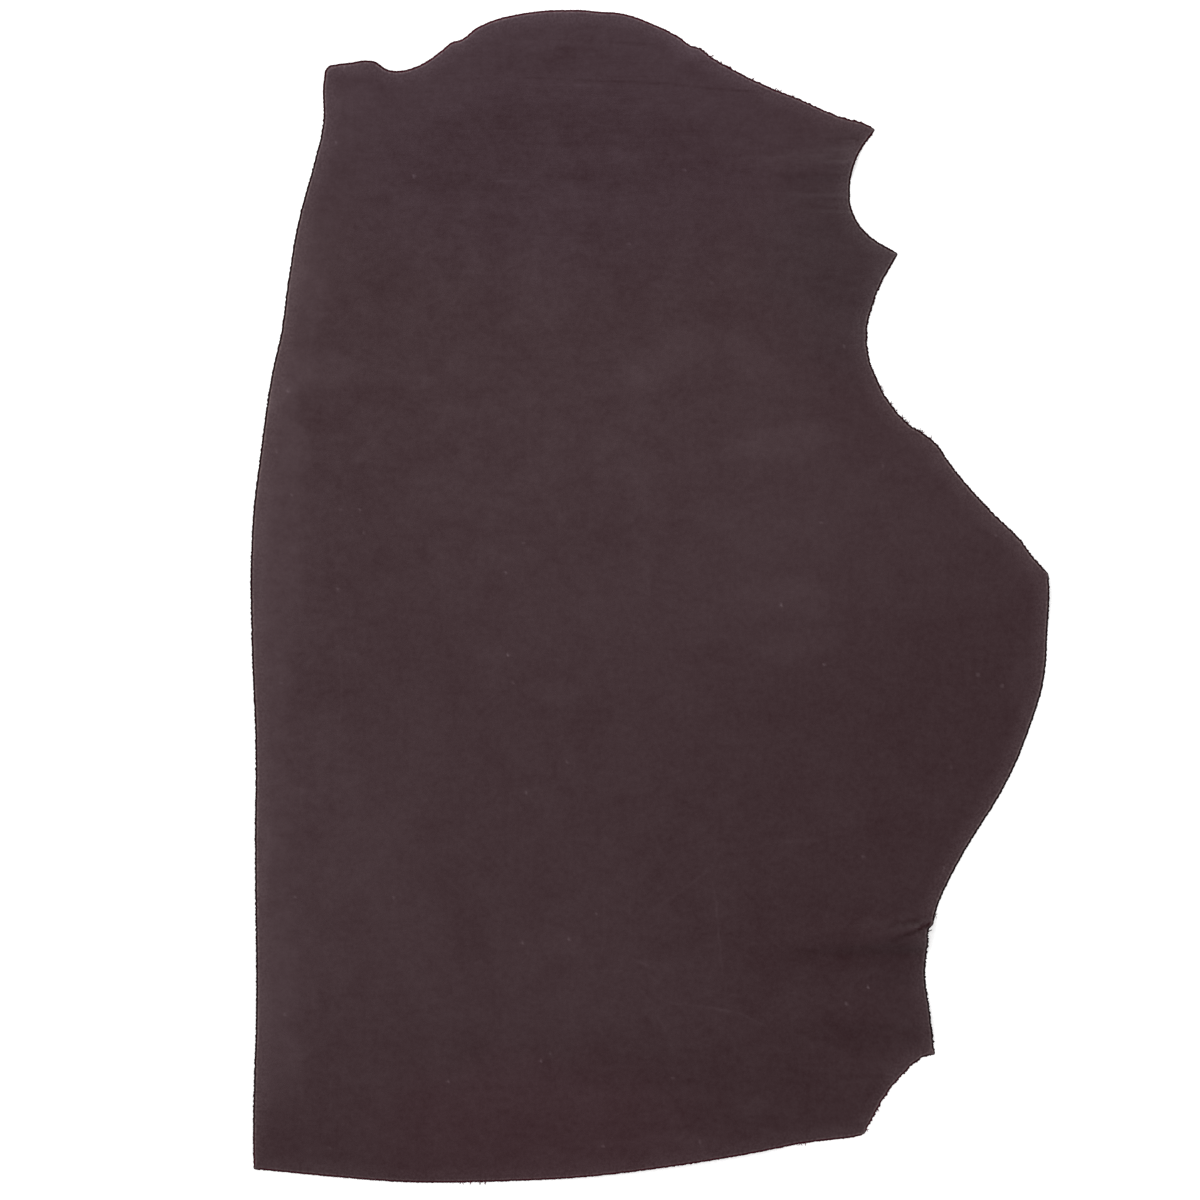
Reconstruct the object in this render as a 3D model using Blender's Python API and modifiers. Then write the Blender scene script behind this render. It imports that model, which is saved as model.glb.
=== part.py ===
"""One side of a cattle hide, laid flat with its grain up: a single sheet of leather.

Metres, +Z up, +Y towards the tail, +X from the backbone towards the belly. The origin is
at the middle of the sheet's box, on the surface it lies on.
"""
import math

import bmesh
import bpy
from mathutils import Vector

MM = 0.001

THICKNESS = 2.0 * MM            # split to one thickness all over
OUTLINE_STEPS = 6               # straight steps along the edge from one outline point to the next
CELL = 30 * MM                  # width of the sheet's cells
FORE_BAND = (-745 * MM, -505 * MM)   # the rows that the fore shank's folds cross
FORE_CELL = 12 * MM             # their height, closer so that the folds come out round
SNAP = 2.0 * MM                 # a cut this close to a corner goes through it
JOIN = 0.1 * MM                 # points this close on the edge are one

LEATHER = {"color": (0.056, 0.033, 0.037, 1.0), "roughness": 0.55, "metallic": 0.0}

# The trimmed edge, clockwise from the tail, one row for each stretch. A point is
# (x, y) in millimetres; a stretch that ends in a corner says so.
#   stretch           ends in corner   points
OUTLINE = (
    ("tail",           False, ((-528, 838), (-522, 857), (-488, 864), (-457, 868), (-440, 864),
                               (-427, 855), (-402, 850))),
    ("rump",           False, ((-367, 864), (-339, 884), (-320, 898), (-308, 901), (-275, 924),
                               (-213, 943), (-118, 950), (-42, 945), (12, 924))),
    ("thigh",          True,  ((46, 907), (66, 893), (81, 888), (134, 854), (193, 825), (232, 810),
                               (309, 777), (350, 765), (365, 756))),
    ("hind_shank_cut", True,  ((333, 704), (324, 650), (329, 620), (349, 590), (402, 555))),
    ("flank",          True,  ((366, 485), (352, 420), (366, 356), (415, 283), (440, 266), (460, 251),
                               (494, 205), (551, 140), (600, 92), (644, 37))),
    ("belly",          True,  ((646, 8), (644, -55), (638, -135), (615, -213), (580, -297), (502, -427),
                               (470, -492), (457, -531))),
    ("armpit",         True,  ((451, -537), (450, -565), (446, -610), (452, -665), (462, -739))),
    ("fore_shank_cut", True,  ((437, -751), (408, -777), (385, -805), (363, -842), (348, -870))),
    ("neck",           True,  ((340, -874), (251, -886), (130, -908), (8, -927), (-113, -941),
                               (-275, -949), (-397, -949), (-518, -940), (-642, -928))),
    ("backbone",       False, ((-643, -865), (-638, -654), (-640, -411), (-645, -70), (-646, 27),
                               (-643, 124), (-632, 221), (-611, 367), (-598, 424), (-586, 513),
                               (-569, 610), (-543, 707), (-530, 765))),
)

# Where the sheet stands off the surface. Each fold runs straight from one end to the other
# and fades to nothing at its half width. All are in millimetres.
#   fold                 from (x, y)    to (x, y)      half width  height at each end
FOLDS = (
    ("backbone_curl",     (-650, 470),   (-690, 30),    75,         (5, 11)),
    ("backbone_lift",     (-690, 30),    (-690, -900),  75,         (11, 6)),
    ("tail_lift",         (-540, 905),   (-430, 915),   95,         (9, 6)),
    ("hind_fold_upper",   (170, 690),    (360, 700),    32,         (1, 5)),
    ("hind_fold_lower",   (210, 615),    (360, 610),    34,         (1, 5)),
    ("flank_point_lift",  (660, 30),     (700, 10),     90,         (8, 8)),
    ("fore_fold",         (200, -556),   (470, -548),   38,         (1, 11)),
    ("fore_tuck",         (380, -552),   (470, -528),   17,         (1, 5)),
    ("fore_swell",        (240, -684),   (480, -680),   54,         (1, 8)),
    ("neck_swell",        (-120, -960),  (180, -915),   70,         (3, 5)),
)


def clear_scene():
    for old in list(bpy.data.objects):
        bpy.data.objects.remove(old)


def leather_material():
    material = bpy.data.materials.new("leather")
    material.use_nodes = True
    shader = material.node_tree.nodes["Principled BSDF"]
    shader.inputs["Base Color"].default_value = LEATHER["color"]
    shader.inputs["Roughness"].default_value = LEATHER["roughness"]
    shader.inputs["Metallic"].default_value = LEATHER["metallic"]
    return material


def outline_curve():
    """The trimmed edge as one closed Bezier curve, smooth except at the corners."""
    rows = [(x, y, corner and index == len(points) - 1)
            for _, corner, points in OUTLINE
            for index, (x, y) in enumerate(points)]
    data = bpy.data.curves.new("edge", "CURVE")
    data.dimensions = "2D"
    data.fill_mode = "NONE"
    data.resolution_u = OUTLINE_STEPS
    spline = data.splines.new("BEZIER")
    spline.bezier_points.add(len(rows) - 1)
    for point, (x, y, is_corner) in zip(spline.bezier_points, rows):
        point.co = (x * MM, y * MM, 0)
        handle = "VECTOR" if is_corner else "AUTO"
        point.handle_left_type = handle
        point.handle_right_type = handle
    spline.use_cyclic_u = True
    curve = bpy.data.objects.new("edge", data)
    bpy.context.collection.objects.link(curve)
    return curve


def outline_face():
    """A bmesh of the area inside the edge, as one face that looks up."""
    curve = outline_curve()
    bpy.context.view_layer.update()
    evaluated = curve.evaluated_get(bpy.context.evaluated_depsgraph_get())
    line = bpy.data.meshes.new_from_object(evaluated)
    bpy.data.objects.remove(curve)

    bm = bmesh.new()
    bm.from_mesh(line)
    bmesh.ops.remove_doubles(bm, verts=bm.verts, dist=JOIN)
    face, = bmesh.ops.edgeloop_fill(bm, edges=bm.edges)["faces"]
    if face.normal.z < 0:
        face.normal_flip()
    return bm


def bump(distance, half_width):
    """A round hump: 1 on the fold's line, falling smoothly to 0 at its half width."""
    if distance >= half_width:
        return 0.0
    return (1 - (distance / half_width) ** 2) ** 2


def height_at(x, y):
    """How far the sheet's underside stands off the surface at a point."""
    here = Vector((x, y))
    height = 0.0
    for _, start, end, half_width, (height_start, height_end) in FOLDS:
        a = Vector(start) * MM
        b = Vector(end) * MM
        along = max(0.0, min(1.0, (here - a).dot(b - a) / (b - a).length_squared))
        distance = (here - a.lerp(b, along)).length
        peak = height_start + (height_end - height_start) * along
        height += peak * MM * bump(distance, half_width * MM)
    return height


def cut_lines(stops, steps):
    """Even cuts between each stop and the next, about a step apart, and on the inner stops."""
    lines = []
    for low, high, step in zip(stops, stops[1:], steps):
        count = math.ceil((high - low) / step)
        lines += [low + (high - low) * index / count for index in range(1, count + 1)]
    return lines[:-1]


def slice_sheet(bm, normal, lines):
    """Cuts every face along planes square to a normal, at each distance in lines."""
    for distance in lines:
        bmesh.ops.bisect_plane(
            bm, geom=bm.verts[:] + bm.edges[:] + bm.faces[:],
            plane_co=Vector(normal) * distance, plane_no=normal, dist=SNAP)


def build_hide(collection):
    """The outline filled as one face, cut into cells, raised into its folds and thickened."""
    bm = outline_face()
    left, right = min(v.co.x for v in bm.verts), max(v.co.x for v in bm.verts)
    neck, tail = min(v.co.y for v in bm.verts), max(v.co.y for v in bm.verts)
    slice_sheet(bm, (1, 0, 0), cut_lines((left, right), (CELL,)))
    slice_sheet(bm, (0, 1, 0), cut_lines((neck, *FORE_BAND, tail), (CELL, FORE_CELL, CELL)))
    for vert in bm.verts:
        vert.co.z = height_at(vert.co.x, vert.co.y)
    bmesh.ops.triangulate(bm, faces=bm.faces)
    mesh = bpy.data.meshes.new("hide")
    bm.to_mesh(mesh)
    bm.free()

    mesh.materials.append(leather_material())
    hide = bpy.data.objects.new("hide", mesh)
    collection.objects.link(hide)
    sheet = hide.modifiers.new("thickness", "SOLIDIFY")
    sheet.thickness = THICKNESS
    sheet.offset = 1            # grows upwards, so the underside keeps the heights above


def main():
    clear_scene()
    collection = bpy.data.collections.new("leather_hide")
    bpy.context.scene.collection.children.link(collection)
    build_hide(collection)


main()
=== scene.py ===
"""The looks of one side of a cattle hide, laid flat with its grain up.

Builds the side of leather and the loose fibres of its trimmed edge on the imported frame,
with a floor, soft light and a camera straight above. Metres, +Z up, +Y towards the tail,
+X from the backbone towards the belly.
"""
import math
import random

import bmesh
import bpy
from bpy.props import FloatProperty, FloatVectorProperty, IntProperty, PointerProperty
from bpy.types import Operator, Panel, PropertyGroup
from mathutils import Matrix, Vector, noise
from mathutils.kdtree import KDTree


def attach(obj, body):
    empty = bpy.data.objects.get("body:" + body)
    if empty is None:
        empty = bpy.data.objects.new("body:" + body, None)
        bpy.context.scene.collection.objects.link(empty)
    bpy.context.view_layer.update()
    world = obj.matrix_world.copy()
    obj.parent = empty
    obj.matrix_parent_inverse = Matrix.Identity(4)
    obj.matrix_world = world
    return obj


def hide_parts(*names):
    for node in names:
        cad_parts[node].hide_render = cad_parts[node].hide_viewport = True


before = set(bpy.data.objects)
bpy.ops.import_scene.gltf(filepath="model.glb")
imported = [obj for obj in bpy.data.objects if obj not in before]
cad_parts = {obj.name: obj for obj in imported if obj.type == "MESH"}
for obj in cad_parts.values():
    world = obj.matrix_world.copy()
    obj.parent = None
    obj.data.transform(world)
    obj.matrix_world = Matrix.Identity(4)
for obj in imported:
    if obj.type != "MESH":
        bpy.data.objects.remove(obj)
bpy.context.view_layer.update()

bl_info = {
    "name": "Side of leather",
    "version": (1, 0, 0),
    "blender": (4, 5, 0),
    "location": "3D View > Sidebar > Leather",
    "description": "One side of a waxed cattle hide, laid flat with its grain up",
    "category": "Add Mesh",
}

MM = 0.001
UP = Vector((0, 0, 1))

# ---- The shape of the side -------------------------------------------------------------

# The trimmed edge, clockwise from the tail: each stretch, whether it ends in a corner, and its
# points (x, y) in millimetres.
OUTLINE = (
    ("tail", False, (
        (-528, 838), (-522, 856), (-505, 861), (-488, 863), (-457, 867), (-444, 865), (-434, 858),
        (-425, 853), (-405, 851))),
    ("rump", False, (
        (-381, 857), (-366, 864), (-339, 883), (-320, 898), (-308, 901), (-275, 924), (-213, 943),
        (-118, 950), (-80, 947), (-45, 944), (12, 924))),
    ("thigh", True, (
        (46, 907), (66, 893), (81, 888), (98, 875), (134, 854), (193, 825), (232, 810), (309, 777),
        (350, 765), (365, 756))),
    ("hind_shank_cut", True, (
        (333, 704), (324, 650), (329, 620), (349, 590), (402, 555))),
    ("flank", True, (
        (366, 485), (352, 420), (366, 356), (415, 283), (440, 266), (460, 251), (494, 205),
        (551, 140), (600, 92), (621, 63), (644, 37))),
    ("belly", True, (
        (646, 8), (644, -55), (638, -135), (615, -213), (580, -297), (502, -427), (470, -492),
        (457, -531))),
    ("armpit", True, (
        (451, -538), (450, -560), (448, -584), (446, -610), (452, -665), (462, -742))),
    ("fore_shank_cut", True, (
        (437, -750), (409, -776), (386, -803), (363, -842), (348, -870))),
    ("neck", True, (
        (340, -874), (251, -886), (130, -908), (8, -927), (-113, -941), (-275, -949), (-397, -949),
        (-518, -940), (-642, -928))),
    ("backbone", False, (
        (-643, -865), (-638, -654), (-640, -411), (-639, -245), (-645, -70), (-646, 27),
        (-643, 124), (-632, 221), (-611, 367), (-598, 424), (-586, 513), (-569, 610), (-543, 707),
        (-530, 765))),
)

# How each stretch was trimmed: how far the knife wandered, how long its bites are, how many
# loose fibres it left on a metre, how pale the grain is beside it, and how red the bare
# fibres are. That paleness is partly grain rubbed by handling and partly painted highlight,
# where the edge and its rounded shoulder catch the light.
#   stretch             wander mm  bite mm  fibres  pale    red
EDGE_FINISH = {
    "tail":             (0.5,      5.0,     60,     0.34,   0.6),
    "rump":             (0.7,      5.0,     120,    0.34,   1.0),
    "thigh":            (1.7,      4.2,     200,    0.35,   0.7),
    "hind_shank_cut":   (0.7,      4.2,     80,     0.36,   0.3),
    "flank":            (1.7,      4.5,     220,    0.35,   0.3),
    "belly":            (1.0,      4.2,     150,    0.37,   0.15),
    "armpit":           (2.2,      2.8,     220,    0.26,   0.1),
    "fore_shank_cut":   (2.8,      4.5,     300,    0.31,   0.7),
    "neck":             (0.9,      4.5,     420,    0.20,   0.9),
    "backbone":         (1.2,      4.2,     150,    0.37,   0.2),
}

# Where the sheet stands off the surface, as in the CAD. Each fold runs straight from one end
# to the other and fades to nothing at its half width. All are in millimetres.
#   fold                 from (x, y)    to (x, y)      half width  height at each end
FOLDS = (
    ("backbone_curl",     (-650, 470),   (-690, 30),    75,         (5, 11)),
    ("backbone_lift",     (-690, 30),    (-690, -900),  75,         (11, 6)),
    ("tail_lift",         (-540, 905),   (-430, 915),   95,         (9, 6)),
    ("hind_fold_upper",   (170, 690),    (360, 700),    32,         (1, 5)),
    ("hind_fold_lower",   (210, 615),    (360, 610),    34,         (1, 5)),
    ("flank_point_lift",  (660, 30),     (700, 10),     90,         (8, 8)),
    ("fore_fold",         (200, -556),   (470, -548),   38,         (1, 11)),
    ("fore_tuck",         (380, -552),   (470, -528),   17,         (1, 5)),
    ("fore_swell",        (240, -684),   (480, -680),   54,         (1, 8)),
    ("neck_swell",        (-120, -960),  (180, -915),   70,         (3, 5)),
)

# The smaller creases that lie on them, in the same form. A minus is a trough.
CREASES = (
    ("tuck_line",         (454, -535),   (392, -559),   5.5,        (-4.0, -0.3)),
    ("tuck_shoulder",     (398, -521),   (458, -512),   12,         (0.7, 2.4)),
    ("fore_trough",       (255, -580),   (440, -577),   13,         (-0.3, -2.2)),
    ("fore_trough_edge",  (330, -571),   (400, -568),   6,          (-0.6, -0.9)),
    ("fore_ridge_ripple", (250, -545),   (420, -531),   8,          (0.3, 0.7)),
    ("fore_lower_crease", (285, -705),   (440, -702),   11,         (-0.4, -1.0)),
    ("fore_side_ripple",  (390, -640),   (452, -652),   12,         (0.2, 0.9)),
    ("hind_line_1",       (286, 710),    (331, 709),    4.5,        (-0.3, -1.3)),
    ("hind_ridge_1",      (286, 698),    (331, 699),    6,          (0.2, 0.9)),
    ("hind_line_2",       (292, 741),    (340, 739),    5,          (-0.2, -0.9)),
    ("hind_ridge_2",      (240, 721),    (326, 722),    6,          (0.2, 0.6)),
    ("hind_line_3",       (240, 628),    (324, 625),    5.5,        (-0.2, -1.1)),
    ("hind_ridge_3",      (236, 649),    (320, 646),    6,          (0.2, 0.8)),
    ("hind_line_4",       (225, 672),    (322, 671),    5,          (-0.2, -0.8)),
)

# Parts of the field that the creases cross, cut finer: x and y from and to, in millimetres.
FINE_FIELD = (
    ("fore_shank",        (228, 470),    (-718, -508)),
    ("hind_shank",        (222, 372),    (596, 752)),
)

# ---- The finish of the grain -----------------------------------------------------------

# Paler and deeper grain, area by area, as soft ovals: x and y of the centre, half length and
# half width in millimetres, the turn in degrees, and how much paler, or with a minus deeper.
# Most is wax bloom and depth of dye. The broad paling towards the backbone and the upper
# left and the deepening towards the lower right are partly wax and dye and partly painted
# light and sheen; the first fore shank ovals are painted shade.
PATCHES = {
    "broad": (
        # Partly painted light and sheen: paler towards the upper left, deeper towards the lower
        # right.
        (-65, 156, 486, 340, 0, 0.09), (-146, 723, 373, 113, 0, -0.16),
        (486, -427, 535, 535, 0, -0.19), (551, -103, 243, 211, 0, -0.06)),
    "backbone": (
        # Partly painted light and sheen: the grain along the backbone, where the edge lifts, is
        # paler.
        (-531, 675, 49, 178, -12, 0.04), (-583, 432, 65, 178, -10, 0.42),
        (-619, 156, 71, 243, -4, 0.35), (-629, -232, 65, 421, 0, 0.26),
        (-612, -670, 65, 194, 0, 0.32), (-583, -38, 113, 324, 0, 0.1),
        (-567, 586, 26, 65, -12, 0.12), (-570, 445, 39, 73, 0, -0.19),
        (-616, 318, 16, 49, -8, 0.19), (-625, 189, 16, 97, -4, 0.15), (-637, 32, 15, 62, 0, -0.27),
        (-593, 132, 19, 57, 0, -0.11), (-583, 11, 36, 49, 0, 0.12), (-627, -411, 15, 97, 0, 0.17),
        (-548, -589, 23, 97, 0, 0.08), (-583, -492, 19, 97, 0, 0.07),
        (-494, 683, 29, 29, 0, -0.11)),
    "tail": ((-486, 811, 58, 42, 0, 0.15), (-494, 853, 49, 16, 0, 0.17)),
    "rump": (
        (-146, 642, 97, 26, 0, 0.09), (-165, 500, 71, 97, 0, 0.09), (-81, 710, 113, 16, 0, 0.08),
        (-146, 817, 113, 15, 0, -0.04), (-65, 600, 75, 26, 0, -0.08),
        (-324, 665, 113, 23, 0, -0.11), (-211, 775, 146, 21, 0, -0.05),
        (49, 542, 178, 19, 0, -0.05), (292, 626, 97, 23, 0, -0.11), (-429, 521, 49, 57, 0, -0.12),
        (-316, 529, 32, 40, 0, -0.08), (-146, 869, 146, 32, 0, -0.12),
        (-146, 707, 178, 65, 0, 0.05), (65, 885, 49, 32, 0, 0.21), (-437, 642, 65, 19, 0, -0.08),
        (-49, 578, 97, 32, 0, -0.06)),
    "arc": ((0, 364, 75, 36, 16, 0.14), (87, 412, 84, 39, 0, 0.11), (175, 373, 75, 36, -34, 0.14)),
    "flank": (
        (211, 250, 130, 36, 4, 0.17), (227, 108, 130, 130, 0, 0.04), (219, -6, 120, 49, 0, 0.13),
        (316, 505, 71, 65, 0, -0.1), (324, 335, 65, 113, 0, -0.05), (243, -79, 97, 36, 10, 0.13)),
    "back": (
        (-518, 364, 58, 39, 0, 0.17), (-243, -87, 71, 21, 0, 0.08), (-159, -151, 65, 19, 0, 0.11),
        (-81, 270, 97, 39, 0, 0.04), (-16, 205, 178, 23, 0, 0.04), (-110, -194, 65, 36, 0, -0.06),
        (-405, 56, 81, 32, 0, -0.08), (-531, -135, 58, 58, 0, -0.07), (-81, 92, 97, 65, 0, -0.1)),
    "belly": (
        (611, -151, 23, 81, 0, 0.11), (518, 59, 65, 49, 0, -0.09), (502, -168, 32, 97, 0, 0.04)),
    "shoulder": (
        (-502, -427, 178, 275, 0, 0.14), (-146, -670, 146, 65, 0, 0.04),
        (81, -297, 39, 49, 30, -0.03), (52, -354, 26, 58, -12, -0.06),
        (23, -424, 28, 71, -16, -0.09), (-8, -500, 29, 49, -20, -0.07),
        (-8, -362, 36, 113, -18, -0.04), (211, -411, 97, 19, 20, 0.05),
        (62, -500, 36, 26, 0, -0.08), (-134, -556, 55, 19, -38, 0.1),
        (-284, -565, 36, 52, 0, -0.09), (-356, -232, 49, 97, 0, 0.08),
        (-470, -540, 65, 65, 0, -0.05), (-364, -589, 57, 81, 0, 0.09),
        (-300, -727, 49, 40, 0, -0.1), (-186, -573, 65, 57, 0, 0.07),
        (-81, -346, 65, 81, 0, -0.03), (275, -330, 97, 97, 0, 0.07), (32, -565, 75, 36, 0, -0.11),
        (16, -203, 194, 16, 0, -0.04)),
    "fore_shank": (
        # The first two ovals are painted shade, in the troughs below the fore fold and the swell.
        (340, -581, 162, 26, 0, -0.12), (324, -712, 178, 36, 0, -0.11),
        (243, -629, 243, 194, 0, -0.05), (373, -808, 36, 42, 0, -0.17),
        (408, -694, 26, 19, 0, 0.09)),
    "neck": (
        (-113, -945, 680, 243, 0, -0.15), (113, -783, 356, 97, -10, -0.13),
        (159, -824, 55, 16, 5, 0.12), (32, -808, 178, 16, 0, 0.1), (16, -884, 146, 16, 0, 0.08),
        (65, -864, 40, 13, 0, -0.12), (211, -884, 49, 13, 0, -0.11)),
}

# Where the skin lay in fine wrinkles across the rump, in the same form.
WRINKLED = {
    "rump": ((0, 740, 620, 360, 0, 0.9),),
}

# Where the brown is redder, or with a minus less red, and where it is bluer, in shares.
REDDER = {
    "neck": ((-178, -860, 356, 150, 0, 0.085),),
    "hind_shank": ((345, 560, 205, 250, 0, -0.085),),
    "armpit": ((430, -590, 90, 130, 0, -0.04),),
}
BLUER = {
    "rump": ((-146, 804, 583, 373, 0, 0.105),),
    "neck": ((-178, -860, 356, 150, 0, 0.03),),
}

# Where the clouds and the mottle of the grain are stronger, or with a minus weaker.
MOTTLED = {
    "backbone": ((-565, -80, 130, 720, 0, 0.6),),
    "rump": ((-210, 430, 480, 520, 0, 0.55),),
    "belly": ((380, -150, 330, 420, 0, -0.35),),
}

# Where the fibres lie slack, so that the grain breaks into pebbles.
SLACK = {
    "fore_shank": ((360, -800, 190, 130, 30, 1.0),),
    "armpit": ((440, -640, 60, 130, 0, 0.5),),
    "flank": ((400, 330, 70, 160, -30, 0.6),),
    "tail_root": ((-130, 920, 120, 60, 0, 0.5),),
    "belly": ((600, -160, 70, 330, -8, 0.4),),
}

# Lines and small blots in the grain, area by area: the half width in millimetres, how much
# paler or deeper, and the points that each runs through. On the creases of the shanks some
# are painted shade in the troughs and painted highlight on the ridges.
MARKS = {
    "rump": (
        (3.6, -0.2, (-199, 840), (-94, 835), (28, 830), (112, 821), (190, 816)),
        (3.6, -0.17, (-66, 897), (23, 892)), (2.8, 0.16, (-172, 829), (-78, 827)),
        (3.8, -0.09, (-272, 693), (-94, 673)), (3, 0.14, (151, 710), (217, 710)),
        (6.5, -0.06, (-174, 905), (-87, 902)), (7.5, 0.04, (-500, 800), (-449, 804)),
        (2.8, 0.13, (-146, 754), (-102, 754)), (2.8, 0.15, (-255, 673), (-197, 673)),
        (9, 0.1, (-62, 719), (-40, 714)), (7, 0.09, (-52, 793), (-44, 793)),
        (7, 0.09, (20, 793), (28, 793)), (11.2, 0.05, (-248, 571), (-180, 577)),
        (9.3, 0.06, (-132, 572), (-86, 555)), (16.8, -0.09, (-254, 609), (-223, 609)),
        (14.9, -0.1, (-198, 542), (-168, 542))),
    "hind_shank": (
        # Painted shade and highlight: the deeper lines lie in the troughs of the creases, the
        # paler ones on their ridges.
        (2.8, -0.3, (288, 709), (322, 709)), (3.2, -0.2, (285, 740), (335, 741)),
        (5.5, -0.1, (206, 681), (318, 683)), (5.5, 0.14, (233, 649), (318, 649)),
        (2.9, 0.16, (285, 722), (322, 722)), (2.9, 0.16, (285, 701), (322, 701)),
        (7.5, -0.03, (208, 683), (263, 684), (313, 679)), (7.5, -0.05, (260, 634), (322, 620))),
    "back": (
        (11.2, -0.09, (-571, 407), (-548, 416)), (16.8, -0.1, (-429, 200), (-409, 169)),
        (7.5, -0.06, (-297, 478), (-271, 489)), (13, 0.17, (-570, 527), (-560, 517)),
        (7.5, 0.22, (-592, 338), (-586, 333)), (11.2, -0.09, (-150, 377), (-103, 372), (-51, 383)),
        (11.2, -0.08, (-124, 161), (-98, 163)), (13, 0.11, (-388, 333), (-353, 351)),
        (11.2, 0.07, (-327, 312), (-340, 277)),
        (11.2, 0.14, (-461, 273), (-448, 247), (-474, 221)), (13, 0.05, (-504, 355), (-474, 372)),
        (5.6, 0.06, (-206, 165), (-185, 169), (-159, 184)), (9.3, 0.08, (-241, 53), (-219, 66)),
        (11.2, 0.05, (-258, 394), (-228, 394)), (11.2, 0.06, (-219, 467), (-215, 446)),
        (13, -0.04, (-11, 317), (48, 322), (88, 346)), (16.8, 0.06, (-26, 361), (8, 374)),
        (9.3, 0.05, (128, 428), (152, 411), (192, 391)),
        (5.6, 0.05, (-11, 138), (83, 130), (217, 120)), (7.5, 0.07, (38, 257), (43, 227))),
    "flank": ((14.9, 0.06, (212, 267), (242, 274), (267, 262)),),
    "belly": (
        (11.2, -0.06, (530, 108), (585, 73)), (9.3, 0.04, (391, 138), (391, 73)),
        (9.3, 0.11, (346, -11), (351, -41))),
    "shoulder": (
        (3, 0.14, (-31, -587), (13, -603)), (3, 0.14, (-13, -639), (28, -707)),
        (3.2, 0.22, (32, -659), (96, -665), (147, -676), (188, -696)),
        (3, 0.16, (84, -636), (143, -647)),
        (3.2, 0.15, (-2, -514), (28, -492), (62, -469), (99, -440),
         (113, -414), (151, -411), (206, -396), (272, -396)),
        (3, 0.12, (-79, -607), (-45, -607)), (3.2, 0.1, (-75, -440), (-73, -558)),
        (3.2, 0.1, (-34, -440), (-31, -573)),
        (12.1, -0.04, (75, -304), (56, -342), (37, -385), (22, -428), (-2, -466), (-18, -509)),
        (6.5, -0.06, (-49, -318), (-43, -361), (-47, -413)),
        (7.5, -0.07, (-99, -371), (-116, -399), (-120, -418)),
        (8.4, -0.05, (-184, -347), (-151, -356)),
        (5.6, -0.05, (-44, -592), (-16, -601), (22, -615)), (11.2, -0.08, (-6, -689), (10, -715)),
        (11.2, -0.09, (70, -691), (98, -703)), (11.2, 0.07, (17, -174), (41, -165)),
        (16.8, 0.09, (139, -278), (165, -261)), (14.9, 0.06, (79, -333), (132, -328)),
        (8.4, 0.06, (107, -670), (146, -680)), (13, -0.13, (-587, -266), (-581, -296)),
        (11.2, -0.07, (-519, -281), (-516, -302)), (14.9, -0.07, (-266, -584), (-248, -575)),
        (9.3, -0.06, (-542, -498), (-542, -522)),
        (4.7, 0.07, (-563, -213), (-562, -272), (-566, -332), (-557, -379)),
        (4.7, 0.06, (-539, -249), (-536, -308), (-535, -379)),
        (7.5, 0.14, (-545, -635), (-541, -688)), (9.3, 0.1, (-602, -412), (-600, -427))),
    "fore_shank": (
        # The first eight rows are painted shade: along the tuck and the trough below it, on the
        # ridge above the tuck, which catches the light, and on the rim where the tuck meets the
        # edge.
        (4.3, -0.55, (446, -533), (436, -538), (426, -542), (412, -547)),
        (5.5, -0.65, (447, -532), (437, -536), (428, -539)), (6, -0.25, (430, -540), (391, -557)),
        (4.5, -0.9, (457, -528), (446, -533)), (9, -0.27, (386, -532), (401, -527)),
        (9, -0.62, (412, -530), (438, -528)), (9, -0.3, (448, -519), (460, -514)),
        (11.2, -0.05, (231, -575), (312, -579), (379, -580), (441, -575)),
        (11.2, 0.06, (246, -718), (312, -741)), (11.2, -0.07, (255, -771), (278, -775)),
        (7.5, -0.12, (305, -779), (379, -777))),
    "neck": (
        (13, -0.06, (-219, -706), (-195, -706)), (13, -0.07, (-207, -843), (-195, -855)),
        (11.2, -0.08, (-599, -736), (-587, -751)), (5.6, 0.09, (-566, -771), (-563, -825)),
        (3.4, 0.07, (-516, -771), (-519, -843), (-516, -896)),
        (3.4, 0.04, (-79, -670), (-79, -789), (-76, -896)),
        (4.1, -0.05, (119, -843), (173, -843), (243, -847), (301, -855), (336, -862)),
        (7.5, -0.06, (173, -866), (196, -874)), (11.2, -0.06, (-29, -913), (-14, -913)),
        (7.5, -0.09, (84, -909), (126, -901), (165, -890))),
    "scratches": (
        (2.6, 0.26, (105, -477), (110, -535), (117, -613)),
        (2.4, 0.18, (-133, -869), (-160, -902), (-198, -914)),
        (2.4, 0.18, (-502, -103), (-499, -168), (-505, -224))),
}

# Small pale specks where something nicked the grain: how much paler, and where, in millimetres.
SPECK_HALF = 3.4
SPECKS = (
    (2.4, (
        (353, -633), (-162, -740), (531, -127))),
    (1.5, (
        (-463, 103), (-382, 680), (-494, 856), (277, 119), (212, -14), (377, 211), (282, -111),
        (570, -145), (-415, -488), (-201, -318), (-207, -561), (-177, -752), (-327, -785),
        (345, -422), (476, -440), (318, -659), (-222, -140), (-230, -95), (-134, -268),
        (-131, -555), (-580, 164))),
    (1.0, (
        (-501, 140), (-470, 140), (-505, 11), (-575, -487), (37, -780), (-205, 86), (-586, 332),
        (-508, 734), (81, -883), (-591, -677), (-87, -514), (-604, 234), (56, 690), (-597, -140),
        (-34, 571), (-631, 133), (-234, 38), (100, 507), (-518, -893), (487, -277), (560, 99),
        (314, 405), (-76, -890))),
)

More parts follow.
